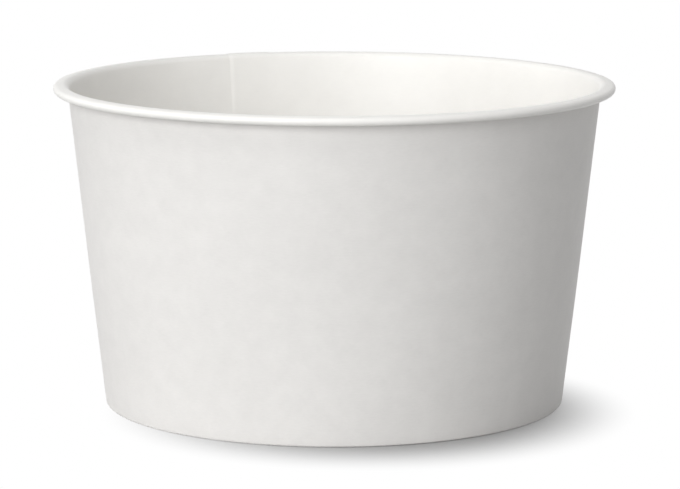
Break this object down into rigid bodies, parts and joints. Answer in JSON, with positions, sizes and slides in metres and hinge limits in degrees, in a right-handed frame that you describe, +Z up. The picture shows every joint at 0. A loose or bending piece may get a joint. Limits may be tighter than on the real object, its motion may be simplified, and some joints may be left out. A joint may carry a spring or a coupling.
{
  "type": "paper sundae cup",
  "caption": "Low conical paper food cup with an outward-rolled rim, a lapped side seam and a recessed pressed bottom disc.",
  "frame": {"origin": "on the cup's axis, in the plane of the foot that it stands on", "axes": "+Z up along the cup's axis, out of its mouth; -Y is the side that faces the viewer, and the side seam is at the back, 24 degrees from +Y towards -X"},
  "size_m": [0.096, 0.096, 0.0552],
  "materials": {
    "wall_board": "satin coated board",
    "disc_board": "satin coated board"
  },
  "bodies": {
    "root": {"side_wall": "wall_board", "bottom_disc": "disc_board"}
  },
  "joints": []
}
